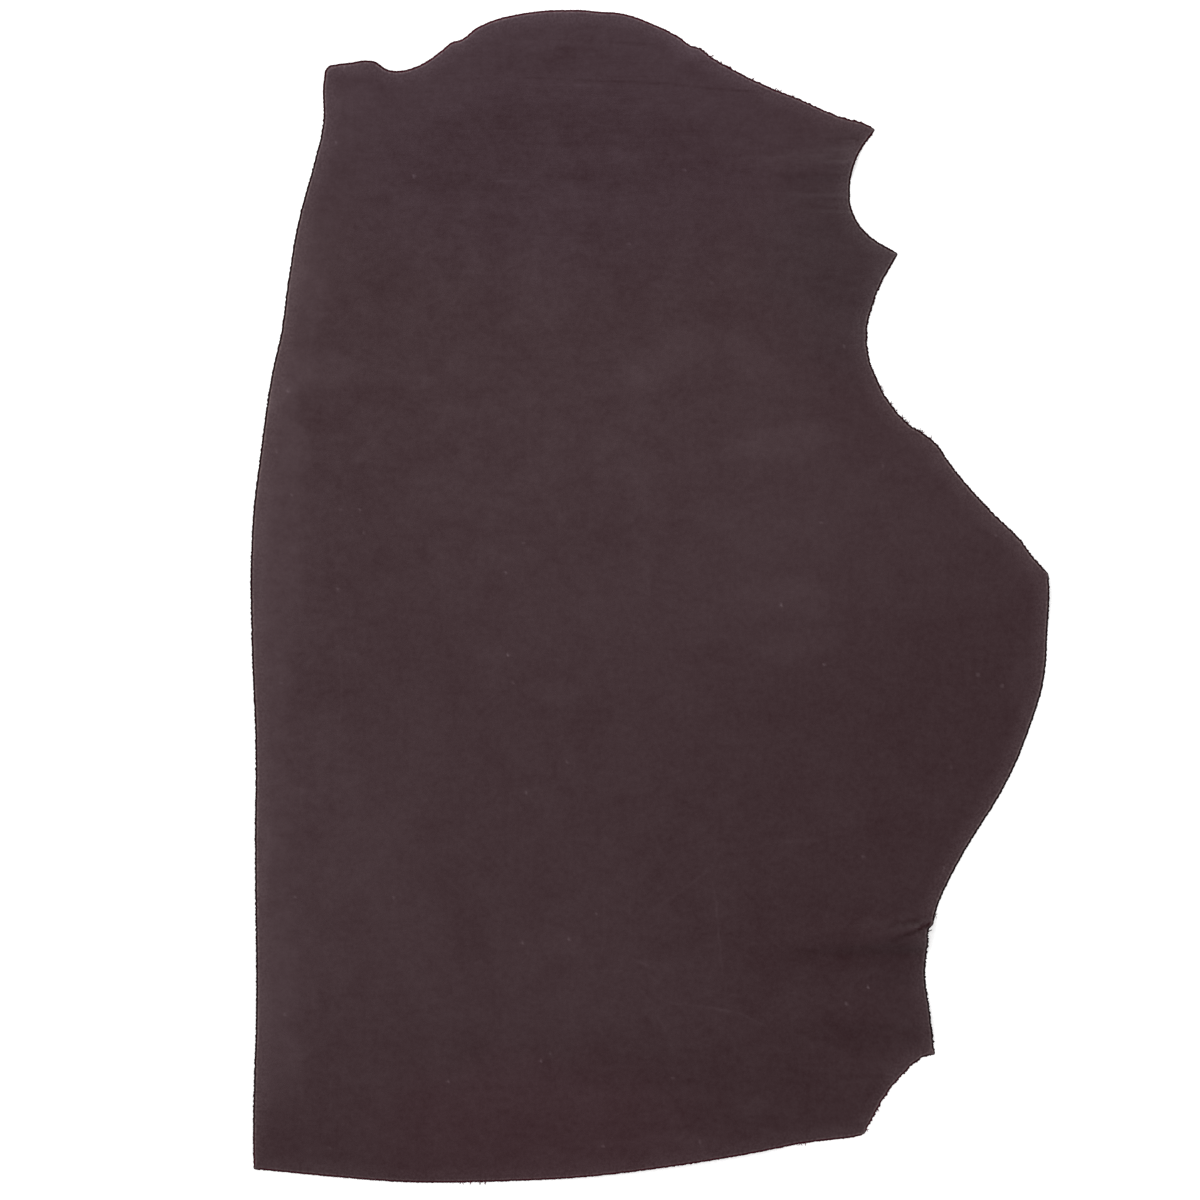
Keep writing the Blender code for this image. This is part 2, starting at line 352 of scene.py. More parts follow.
# Where small tufts stand out of the cut, in millimetres.
NIBS = (
    (375, 342), (380, 333), (393, 314), (402, 302), (410, 291), (416, 288), (134, 857), (419, 281),
    (437, 270), (442, 265), (455, 256), (99, 874), (117, 864), (168, 838), (202, 818), (210, 816),
    (230, 811), (355, -866), (369, -830), (244, -888), (252, -887), (-275, -949), (-290, -949),
    (-305, -949), (-266, -949), (452, -512), (448, -540))

# What is painted on the grain, and where.
PAINTED = {
    "bloom_and_painted_light": PATCHES, "wrinkled": WRINKLED, "slack": SLACK, "redder": REDDER, "bluer": BLUER,
    "mottled": MOTTLED,
}


def linear(code):
    """An sRGB hex colour as linear numbers."""
    shares = [int(code[start:start + 2], 16) / 255 for start in (1, 3, 5)]
    return [s / 12.92 if s <= 0.04045 else ((s + 0.055) / 1.055) ** 2.4 for s in shares]


class HideSizes(PropertyGroup):
    """Sizes of the side of leather"""
    thickness: FloatProperty(
        name="Thickness", description="What the side was split to",
        default=2.0 * MM, unit="LENGTH", precision=4)
    cell: FloatProperty(
        name="Cell", description="Width of the field's cells",
        default=12 * MM, unit="LENGTH", precision=4)
    edge_step: FloatProperty(
        name="Edge step", description="Longest straight step along the trimmed edge",
        default=1.5 * MM, unit="LENGTH", precision=4)
    lean: FloatProperty(
        name="Lean of the cut", description="How far the cut leans out from grain to flesh",
        default=3.4 * MM, unit="LENGTH", precision=4)
    shoulder: FloatProperty(
        name="Shoulder", description="Width of the rounded shoulder inside the cut",
        default=1.7 * MM, unit="LENGTH", precision=4)
    swell: FloatProperty(
        name="Unevenness", description="How far the side's broad swells stand up",
        default=1.0 * MM, unit="LENGTH", precision=4)
    fibre_length: FloatProperty(
        name="Fibre length", description="How long the longest loose fibres are",
        default=5.5 * MM, unit="LENGTH", precision=4)
    fibre_width: FloatProperty(
        name="Fibre width", description="How thick a tuft of fibres is at its root",
        default=1.8 * MM, unit="LENGTH", precision=5)
    seed: IntProperty(
        name="Seed", description="Which way the loose fibres fall", default=11)


class HideColours(PropertyGroup):
    """Colours of the side of leather"""
    deep: FloatVectorProperty(
        name="Deep", description="Grain where the dye went deepest", subtype="COLOR",
        default=linear("#321D21"), min=0, max=1)
    # The pale end of the grain's tone: wax bloom, with painted sheen in its grey veil.
    bloom_and_painted_light: FloatVectorProperty(
        name="Bloom", description="Grain under a bloom of wax", subtype="COLOR",
        default=linear("#4D3C40"), min=0, max=1)
    # Near black: partly the dye of the cut fibres, partly painted shade on the narrow cut.
    cut: FloatVectorProperty(
        name="Cut edge", description="The dyed fibres of the cut", subtype="COLOR",
        default=linear("#0E0607"), min=0, max=1)
    red_cut: FloatVectorProperty(
        name="Red cut edge", description="Cut fibres that the dye left red", subtype="COLOR",
        default=linear("#3A0C17"), min=0, max=1)
    loose: FloatVectorProperty(
        name="Loose fibre", description="The fibres that stand out of the cut", subtype="COLOR",
        default=linear("#3C282C"), min=0, max=1)
    red_loose: FloatVectorProperty(
        name="Red loose fibre", description="Loose fibres that the dye left red", subtype="COLOR",
        default=linear("#6A2C3A"), min=0, max=1)
    flesh: FloatVectorProperty(
        name="Flesh side", description="The napped back", subtype="COLOR",
        default=linear("#4A3838"), min=0, max=1)


class StudioSettings(PropertyGroup):
    """Camera, floor and lights"""
    lens: FloatProperty(
        name="Lens", description="Focal length in millimetres", default=70, min=20, max=200)
    width: FloatProperty(
        name="Width of the view", description="How much of the floor the camera takes in",
        default=1944 * MM, unit="LENGTH")
    floor: FloatVectorProperty(
        name="Floor", description="Colour of the floor", subtype="COLOR",
        default=linear("#F2F2F2"), min=0, max=1)
    floor_glow: FloatProperty(
        name="Floor glow", description="How much the floor shines by itself, as a light table",
        default=0.4, min=0, max=1)


# ---- Mesh ------------------------------------------------------------------------------

JOIN = 0.1 * MM                 # points this close on the edge are one
WHOLE_CELL = 8                  # a face with this many corners isn't a cell, and is left whole
LONG_SIDE = 0.6                 # a cell's side is halved if it is over this share of the cell size
ROW_REACH = 0.4                 # corners are told by their row, to this share of a strip's width
SNAP = 0.4 * MM                 # a cut this close to a corner goes through it
EDGE_STEPS = 12                 # straight steps along the edge from one outline point to the next
CORNER_REACH = 9 * MM           # how far from a corner its softening goes
CORNER_PASSES = 5
CORNER_FADE = 10 * MM           # how far from a corner the knife's wander comes in
SLIVER = 0.4 * MM ** 2          # a cell smaller than this is closed up
CORNER_WIDTH = 0.25             # share of the cut's width that is left at the very corner
THIN = 0.2 * MM                 # the first, narrow inset of the cut and of its shoulder
NEAR_STEPS = 6                  # steps of the edge that a place inside it goes by
CLEAN = 0.60 * MM               # corners of cells this close are one
FEATHER = 0.35 * MM             # what is left of the thickness at the foot of the leaning cut
SHOULDER_DROP = 0.30 * MM       # how far the shoulder rounds down to the cut
WANDER_REACH = 10 * MM          # how far into the side the knife's wander is felt
INWARD = -1.0 * MM              # the deepest nick
FINISH_BLEND = 40               # steps over which one stretch's finish goes into the next
FINE_HALF = 6 * MM              # a line this narrow gets the finest cells
MARK_FADE = 25 * MM             # how soon a mark fades and comes back
KEPT = 0.85                     # how much of a mark is left on average where it fades
FAR = 40                        # the edge's distance isn't told beyond this, in millimetres
STRAYS = ((50 * MM, 22 * MM), (17 * MM, 10 * MM))      # size of a run, and how far it goes
STRAY_LAYERS = (58.5, 51.3)     # where in the noise the runs in x and in y are read
FREE_STRAY = 80 * MM            # an oval at least this wide runs as far as its surroundings


def placed(name, data):
    """A new object of the data, in the scene."""
    made = bpy.data.objects.new(name, data)
    bpy.context.scene.collection.objects.link(made)
    return made


def finished(bm, name):
    """A mesh of a bmesh that is done with."""
    mesh = bpy.data.meshes.new(name)
    bm.to_mesh(mesh)
    bm.free()
    return mesh


def edge_curve():
    """The trimmed edge as one closed Bezier curve, smooth except at the corners."""
    rows = [(x, y, corner and index == len(points) - 1)
            for _, corner, points in OUTLINE
            for index, (x, y) in enumerate(points)]
    data = bpy.data.curves.new("trimmed_edge", "CURVE")
    data.dimensions = "2D"
    data.fill_mode = "NONE"
    data.resolution_u = EDGE_STEPS
    spline = data.splines.new("BEZIER")
    spline.bezier_points.add(len(rows) - 1)
    for point, (x, y, is_corner) in zip(spline.bezier_points, rows):
        point.co = (x * MM, y * MM, 0)
        handle = "VECTOR" if is_corner else "AUTO"
        point.handle_left_type = handle
        point.handle_right_type = handle
    spline.use_cyclic_u = True
    return placed("trimmed_edge", data)


def corner_distance(place):
    """How far a place is from the nearest corner of the edge."""
    return min((place - Vector((*points[-1], 0)) * MM).length
               for _, corner, points in OUTLINE if corner)


def flat_side(edge_step):
    """A bmesh of the whole side as one flat face that looks up, its edge in short steps."""
    curve = edge_curve()
    bpy.context.view_layer.update()
    line = bpy.data.meshes.new_from_object(
        curve.evaluated_get(bpy.context.evaluated_depsgraph_get()))
    bpy.data.curves.remove(curve.data)
    bm = bmesh.new()
    bm.from_mesh(line)
    bpy.data.meshes.remove(line)
    bmesh.ops.remove_doubles(bm, verts=bm.verts, dist=JOIN)

    steps = {edge: math.ceil(edge.calc_length() / edge_step) for edge in bm.edges}
    for count in sorted(set(steps.values()) - {1}):
        edges = [edge for edge, wanted in steps.items() if wanted == count]
        bmesh.ops.subdivide_edges(bm, edges=edges, cuts=count - 1)

    near = [v for v in bm.verts if corner_distance(v.co) < CORNER_REACH]
    for _ in range(CORNER_PASSES):
        bmesh.ops.smooth_vert(bm, verts=near, factor=0.5, use_axis_x=True, use_axis_y=True)

    face, = bmesh.ops.edgeloop_fill(bm, edges=bm.edges)["faces"]
    if face.normal.z < 0:
        face.normal_flip()
    return bm


class TrimmedEdge:
    """Tells how far a place is from the trimmed edge, which way is out there, and its stretch."""

    def __init__(self, face):
        points = [(x, y, name) for name, _, rows in OUTLINE for x, y in rows]
        stretches = KDTree(len(points))
        for index, (x, y, _) in enumerate(points):
            stretches.insert((x * MM, y * MM, 0), index)
        stretches.balance()
        self.places, self.outward, self.finish, self.steady, self.narrow = [], [], [], [], []
        self.tree = KDTree(len(face.loops))
        for index, loop in enumerate(face.loops):
            run = loop.link_loop_next.vert.co - loop.link_loop_prev.vert.co
            self.places.append(loop.vert.co.copy())
            self.outward.append(run.cross(UP).normalized())
            self.finish.append(EDGE_FINISH[points[stretches.find(loop.vert.co)[1]][2]])
            self.steady.append(min(1.0, corner_distance(loop.vert.co) / CORNER_FADE))
            self.narrow.append(CORNER_WIDTH + (1 - CORNER_WIDTH) * self.steady[-1])
            self.tree.insert(loop.vert.co, index)
        self.tree.balance()

    def nearest(self, place):
        """The nearest step of the edge, and how far off it is where the cut has its full width."""
        _, index, distance = self.tree.find((place.x, place.y, 0))
        return index, distance / self.narrow[index]

    def pull(self, place):
        """How the knife's wander moves a place, blended over the nearest steps of the edge."""
        near = self.tree.find_n((place.x, place.y, 0), NEAR_STEPS)
        if near[0][2] < JOIN:
            near = near[:1]
        far = near[-1][2] + JOIN
        total = sum(far - distance for _, _, distance in near)
        fading = max(0.0, 1 - near[0][2] / WANDER_REACH)
        return sum((self.outward[index] * (self.wander(index) * (far - distance))
                    for _, index, distance in near), Vector()) * (fading / total)

    def wander(self, index):
        """How far the knife strayed outwards at a step of the edge."""
        depth, bite = self.finish[index][:2]
        at = self.places[index] / (bite * MM)
        finer = noise.noise(at * 2.6 + Vector((5, 9, 2)))
        stray = noise.noise(at) + 0.7 * finer
        return max(INWARD, depth * MM * stray) * self.steady[index]

    def blended(self, index, column):
        """A number of the edge's finish, blended over the steps near one."""
        near = [self.finish[(index + step) % len(self.finish)][column]
                for step in range(-FINISH_BLEND, FINISH_BLEND + 1, 4)]
        return sum(near) / len(near)


def measured(rows):
    """Fold rows with their lines worked out in metres."""
    return [(Vector(start) * MM, (Vector(end) - Vector(start)) * MM, half * MM,
             first * MM, last * MM)
            for _, start, end, half, (first, last) in rows]


def lift_at(here, rows):
    """How far a list of measured folds lifts a place."""
    lift = 0.0
    for start, run, half, first, last in rows:
        along = max(0.0, min(1.0, (here - start).dot(run) / run.length_squared))
        share = (here - start - run * along).length / half
        if share < 1:
            lift += (first + (last - first) * along) * (1 - share ** 2) ** 2
    return lift


def unevenness(here, height):
    """The slight swells of a side that isn't quite flat, 0.2 m across and less."""
    broad = noise.noise(Vector((here.x / 0.21, here.y / 0.16, 3.1)))
    small = noise.noise(Vector((here.x / 0.06, here.y / 0.075, 8.4)))
    return height * max(0.0, 0.5 + 0.5 * broad + 0.14 * small)


def turned(areas):
    """The ovals of a table with their turns worked out."""
    return [(Vector((x, y)) * MM, half_length * MM, half_width * MM,
             math.cos(math.radians(turn)), math.sin(math.radians(turn)), strength)
            for rows in areas.values()
            for x, y, half_length, half_width, turn, strength in rows]


def straying(here):
    """How far what is painted at a place has run, so that it gets a ragged outline."""
    return Vector([sum(noise.noise(Vector((*(here / size), layer))) * reach
                       for size, reach in STRAYS) for layer in STRAY_LAYERS])


def painted(here, stray, ovals):
    """The sum of turned soft ovals at a place; the narrow ones stray less."""
    total = 0.0
    for centre, half_length, half_width, cosine, sine, strength in ovals:
        off = here - centre + stray * min(1.0, half_width / FREE_STRAY)
        share = (((off.x * cosine + off.y * sine) / half_length) ** 2
                 + ((off.y * cosine - off.x * sine) / half_width) ** 2)
        if share < 1:
            total += strength * (1 - share) ** 2 * (1 + 2 * share)
    return total


class Strokes:
    """The lines and specks of the grain, with the painted shade and highlight on the creases, as
    closely spaced spots that a place can look up.
    """

    def __init__(self):
        rows = [(SPECK_HALF, paler, spot, spot) for paler, spots in SPECKS for spot in spots]
        rows += [row for area in MARKS.values() for row in area]
        self.spots = []
        for number, (half, paler, *points) in enumerate(rows):
            for start, end in zip(points, points[1:]):
                start, end = Vector(start) * MM, Vector(end) * MM
                count = math.ceil((end - start).length / min(half * MM / 2, 4 * MM)) or 1
                self.spots += [(start.lerp(end, index / count), half * MM, paler, number)
                               for index in range(count + 1)]
        self.fine, self.all = KDTree(len(self.spots)), KDTree(len(self.spots))
        for index, (spot, half, _, _) in enumerate(self.spots):
            self.all.insert((*spot, 0), index)
            if half < FINE_HALF:
                self.fine.insert((*spot, 0), index)
        self.fine.balance()
        self.all.balance()
        self.reach = max(half for _, half, _, _ in self.spots)

    def paler(self, here):
        """How much paler, or with a minus deeper, the strokes make a place."""
        nearest = {}
        for _, index, distance in self.all.find_range((*here, 0), self.reach):
            _, half, paler, number = self.spots[index]
            share = distance / half
            if share < nearest.get(number, (1, 0))[0]:
                nearest[number] = (share, paler)
        fading = KEPT + noise.noise(Vector((*here, 0)) / MARK_FADE)
        return fading * sum(paler * (1 - share ** 2) ** 2 for share, paler in nearest.values())


def slice_faces(bm, faces, normal, lines):
    """Cuts faces along planes square to a normal, the middle one first, and returns them."""
    if not lines or not faces:
        return faces
    middle = len(lines) // 2
    parts = dict.fromkeys(part for face in faces for part in (face, *face.edges, *face.verts))
    cut = bmesh.ops.bisect_plane(
        bm, geom=list(parts), plane_co=normal * lines[middle], plane_no=normal, dist=SNAP)
    cut_faces = [part for part in cut["geom"] if isinstance(part, bmesh.types.BMFace)]
    below = [f for f in cut_faces if f.calc_center_median().dot(normal) < lines[middle]]
    above = [f for f in cut_faces if f.calc_center_median().dot(normal) >= lines[middle]]
    return (slice_faces(bm, below, normal, lines[:middle])
            + slice_faces(bm, above, normal, lines[middle + 1:]))


def even_lines(low, high, step):
    """Even cuts between two limits, about a step apart, the outer ones well clear of them."""
    count = math.ceil((high - low) / step)
    return [low + (high - low) * (index + 0.5) / count for index in range(1, count - 1)]


def in_fine_field(face):
    """Whether a face lies in a part of the field that creases cross."""
    middle = face.calc_center_median() / MM
    return any(left < middle.x < right and bottom < middle.y < top
               for _, (left, right), (bottom, top) in FINE_FIELD)


def cut_cells(bm, edge, marks, sizes):
    """Leaves a narrow cut and shoulder inside the edge, and cuts the rest into cells."""
    for _ in range(2):
        field = max(bm.faces, key=lambda f: f.calc_area())
        bmesh.ops.inset_region(
            bm, faces=[field], thickness=THIN, use_boundary=True, use_even_offset=True)
    for vert in bm.verts:
        if not vert.is_boundary:
            _, index, distance = edge.tree.find(vert.co)
            width = sizes.lean + (sizes.shoulder if distance > 1.5 * THIN else 0)
            vert.co = edge.places[index] - edge.outward[index] * width * edge.narrow[index]
    faces = [max(bm.faces, key=lambda f: f.calc_area())]
    for axis, normal in enumerate((Vector((1, 0, 0)), Vector((0, 1, 0)))):
        reach = [v.co[axis] for v in bm.verts]
        faces = slice_faces(bm, faces, normal, even_lines(min(reach), max(reach), sizes.cell))
    size = sizes.cell
    for tree in (marks.all, marks.fine):
        cells = [f for f in bm.faces if len(f.verts) < WHOLE_CELL and (
            tree.find(f.calc_center_median())[2] < size or in_fine_field(f))]
        edges = dict.fromkeys(
            e for f in cells for e in f.edges if e.calc_length() > LONG_SIDE * size)
        bmesh.ops.subdivide_edges(bm, edges=list(edges), cuts=1, use_grid_fill=True)
        size /= 2
    bmesh.ops.remove_doubles(bm, verts=bm.verts, dist=CLEAN)
    slivers = [f for f in bm.faces if f.calc_area() < SLIVER]
    short = dict.fromkeys(min(f.edges, key=lambda e: e.calc_length()) for f in slivers)
    bmesh.ops.collapse(bm, edges=[e for e in short if not e.is_boundary])


def trim(bm, edge, grain_verts, sizes):
    """Leans the cut outwards to its foot, rounds its shoulder, and lets the knife wander."""
    for vert in bm.verts:
        _, distance = edge.nearest(vert.co)
        if distance >= WANDER_REACH:
            continue
        if vert in grain_verts and distance < ROW_REACH * sizes.lean:
            vert.co.z -= sizes.thickness - FEATHER
        elif vert in grain_verts and distance < sizes.lean + ROW_REACH * sizes.shoulder:
            vert.co.z -= SHOULDER_DROP
        vert.co += edge.pull(vert.co)


MAP_EDGE = 0.012                # clear border of the bake's map, as a share of it
FLESH_LEFT = 0.705              # where the flesh side starts on that map
FEATHER_OUT = 2.5 * MM          # how far the foot of the cut is spread out on it


def lay_out_map(bm, layer, edge, grain_verts):
    """A map for the bake: the grain and its cut at full height, the flesh side small beside it."""
    low = Vector((min(v.co.x for v in bm.verts), min(v.co.y for v in bm.verts)))
    high = Vector((max(v.co.x for v in bm.verts), max(v.co.y for v in bm.verts)))
    grain_scale = (1 - 2 * MAP_EDGE) / (high.y - low.y + 2 * FEATHER_OUT)
    flesh_scale = (1 - MAP_EDGE - FLESH_LEFT) / (high.x - low.x)
    for face in bm.faces:
        flesh = not any(v in grain_verts for v in face.verts)
        for loop in face.loops:
            place = loop.vert.co.xy
            if flesh:
                spot = (FLESH_LEFT + (high.x - place.x) * flesh_scale,
                        MAP_EDGE + (place.y - low.y) * flesh_scale)
            else:
                if loop.vert not in grain_verts:
                    place = place + edge.outward[edge.nearest(loop.vert.co)[0]].xy * FEATHER_OUT
                spot = [MAP_EDGE + (place[i] - low[i] + FEATHER_OUT) * grain_scale for i in (0, 1)]
            loop[layer].uv = spot


GRAIN, CUT, FLESH = range(3)    # the side's material slots


def side_mesh(sizes):
    """The side of leather: its outline cut into cells, raised into its folds and thickened."""
    bm = flat_side(sizes.edge_step)
    # Beside the edge the grain is paler: partly rubbed, partly painted highlight where the edge
    # catches the light.
    edge_mm, rub_and_highlight, red = (
        bm.verts.layers.float.new(name) for name in ("edge_mm", "rub_and_highlight", "red"))
    layers = [bm.verts.layers.float.new(name) for name in PAINTED]
    map_layer = bm.loops.layers.uv.new("OFBake")
    edge = TrimmedEdge(bm.faces[:][0])
    marks = Strokes()
    cut_cells(bm, edge, marks, sizes)

    folds = measured(FOLDS + CREASES)
    painted_layers = list(zip(layers, (turned(table) for table in PAINTED.values())))
    for vert in bm.verts:
        here = vert.co.xy
        rise = lift_at(here, folds) + unevenness(here, sizes.swell)
        vert.co.z = sizes.thickness + max(0.0, rise)
        stray = straying(here)
        for layer, ovals in painted_layers:
            vert[layer] = painted(here, stray, ovals)
        # The strokes, painted crease shade and highlight among them, join the first painted layer.
        vert[layers[0]] += marks.paler(here)
        index, distance = edge.nearest(vert.co)
        vert[edge_mm] = min(FAR, distance / MM)
        vert[rub_and_highlight] = edge.blended(index, 3)
        vert[red] = edge.blended(index, 4)
    grain_verts = set(bm.verts)
    bmesh.ops.solidify(bm, geom=bm.faces[:], thickness=sizes.thickness)

    for face in bm.faces:
        on_grain = any(v in grain_verts for v in face.verts)
        on_edge = any(v[edge_mm] < ROW_REACH * sizes.lean / MM for v in face.verts)
        face.material_index = FLESH if not on_grain else CUT if on_edge else GRAIN
        face.smooth = True
    for line in bm.edges:
        line.smooth = len({f.material_index for f in line.link_faces}) == 1
    trim(bm, edge, grain_verts, sizes)
    lay_out_map(bm, map_layer, edge, grain_verts)
    return finished(bm, "leather_side")


# One fibre, ring by ring: how far along it, and how thick it is there.
FIBRE_RINGS = ((0.35, 0.9), (0.7, 0.62), (1.0, 0.18))
NIB_STRANDS = 2                 # fibres in a small tuft
NIB_LENGTH = 1.35               # against the longest of the other fibres
NIB_TURN, FIBRE_TURN = 0.5, 1.1         # how far either way they turn from straight out
FIBRE_LENGTHS, FIBRE_WIDTHS = (0.3, 0.75), (0.25, 0.7)  # shares of the sizes set, for the rest
LENGTH_LEFT = (0.75, 1.0)       # how much of its length is left on any of them
CURL, RISE = (-0.9, 0.9), (-0.25, 0.35)     # how far a tip bends aside and up, by its length
ROOT_IN = 0.6                   # how far in a fibre starts, as a share of the cut's lean
ROOT_HEIGHT = (0.2, 0.4)        # how high it starts, as a share of the thickness


def fibre_mesh():
    """One straight fibre along +Z, a unit long and a unit wide, three-sided and tapered."""
    bm = bmesh.new()
    bmesh.ops.create_circle(bm, cap_ends=True, segments=3, radius=0.5)
    for height, width in FIBRE_RINGS:
        tip = max(bm.faces, key=lambda f: f.calc_center_median().z + 0.01 * f.normal.z)
        grown = bmesh.ops.extrude_face_region(bm, geom=[tip])["geom"]
        ring = [part for part in grown if isinstance(part, bmesh.types.BMVert)]
        for vert in ring:
            flat = Vector((vert.co.x, vert.co.y, 0)).normalized() * 0.5 * width
            vert.co = flat + UP * height
    bmesh.ops.recalc_face_normals(bm, faces=bm.faces)
    return finished(bm, "fibre")


def edge_fibres_mesh(sizes):
    """The fibres that the knife left standing out of the cut, each bent its own way."""
    flat = flat_side(sizes.edge_step)
    edge = TrimmedEdge(flat.faces[:][0])
    flat.free()
    folds = measured(FOLDS + CREASES)
    one = fibre_mesh()
    draw = random.Random(sizes.seed)
    bm = bmesh.new()
    red = bm.verts.layers.float.new("red")
    nibs = [edge.nearest(Vector((*place, 0)) * MM)[0] for place in NIBS]
    strands = nibs * NIB_STRANDS
    for index, place in enumerate(edge.places):
        step = (edge.places[index - 1] - place).length
        if draw.random() < edge.finish[index][2] * step and edge.steady[index] == 1:
            strands.append(index)
    for number, index in enumerate(strands):
        place = edge.places[index]
        is_nib = number < len(nibs) * NIB_STRANDS
        turn = NIB_TURN if is_nib else FIBRE_TURN
        angle = draw.uniform(-turn, turn)
        out, aside = edge.outward[index], edge.outward[index].cross(UP)
        out, aside = (out * math.cos(angle) + aside * math.sin(angle),
                      aside * math.cos(angle) - out * math.sin(angle))
        longest = NIB_LENGTH if is_nib else draw.uniform(*FIBRE_LENGTHS)
        length = sizes.fibre_length * longest * draw.uniform(*LENGTH_LEFT)
        width = sizes.fibre_width * (1.0 if is_nib else draw.uniform(*FIBRE_WIDTHS))
        curl, rise = draw.uniform(*CURL), draw.uniform(*RISE)
        root = place + edge.outward[index] * (edge.wander(index) - ROOT_IN * sizes.lean)
        root.z = (max(0.0, lift_at(place.xy, folds) + unevenness(place.xy, sizes.swell))
                  + sizes.thickness * draw.uniform(*ROOT_HEIGHT))
        known = len(bm.verts)
        bm.from_mesh(one)
        bm.verts.ensure_lookup_table()
        for vert in bm.verts[known:]:
            along = vert.co.z
            vert.co = (root + out * (along * length)
                       + aside * (curl * along ** 2 * length + vert.co.x * width)
                       + UP * (rise * along ** 2 * length + vert.co.y * width))
            vert.co.z = max(vert.co.z, 0.1 * MM)
            vert[red] = edge.blended(index, 4)
    for face in bm.faces:
        face.smooth = True
    bmesh.ops.recalc_face_normals(bm, faces=bm.faces)
    bpy.data.meshes.remove(one)
    return finished(bm, "edge_fibres")


# ---- Materials -------------------------------------------------------------------------

def fill(node, inputs):
    """Fills or links a node's inputs."""
    for name, value in inputs.items():
        if isinstance(value, bpy.types.Node):
            value = value.outputs[0]
        if isinstance(value, bpy.types.NodeSocket):
            node.id_data.links.new(value, node.inputs[name])
        else:
            node.inputs[name].default_value = value


def add(tree, kind, settings=None, inputs=None):
    """Adds a node, sets its own settings, and fills or links its inputs."""
    made = tree.nodes.new(kind)
    for name, value in (settings or {}).items():
        setattr(made, name, value)
    fill(made, inputs or {})
    return made


def new_material(name):
    """A named material, its node tree and its shader."""
    material = bpy.data.materials.new(name)
    material.use_nodes = True
    return material, material.node_tree, material.node_tree.nodes["Principled BSDF"]


PLUS, TIMES, TIMES_PLUS = ({"operation": kind} for kind in ("ADD", "MULTIPLY", "MULTIPLY_ADD"))

# Tones of the grain are shares of the way from deep to the pale colour of bloom and painted sheen.
GRAIN_TONE = 0.318              # the usual one
CLOUDS, MOTTLE, FINE_MOTTLE, SPECKLE = 0.18, 0.24, 0.30, 0.22   # how far each moves it
WRINKLE_TONE = 0.15
# How the rub and the painted highlight of the edge fade inwards, by the distance from the edge
# in millimetres, and how the speckle breaks them up.
BAND = {"From Min": 3.0, "From Max": 34.0, "To Min": 1.0, "To Max": 0.0}
RIM = {"From Min": 3.6, "From Max": 7.2, "To Min": 3.2, "To Max": 0.0}
BROKEN = {"From Min": 0.35, "From Max": 0.65, "To Min": 0.5, "To Max": 1.5}
# How much bluer the rub and the painted edge highlight are, in shares.
HIGHLIGHT_AND_RUB_BLUE = -0.05             # how much bluer the rub is, in shares
GRAIN_HIGH, PEBBLES_HIGH, WRINKLES_HIGH = -0.07, -0.45, 0.4     # in millimetres, at their rims


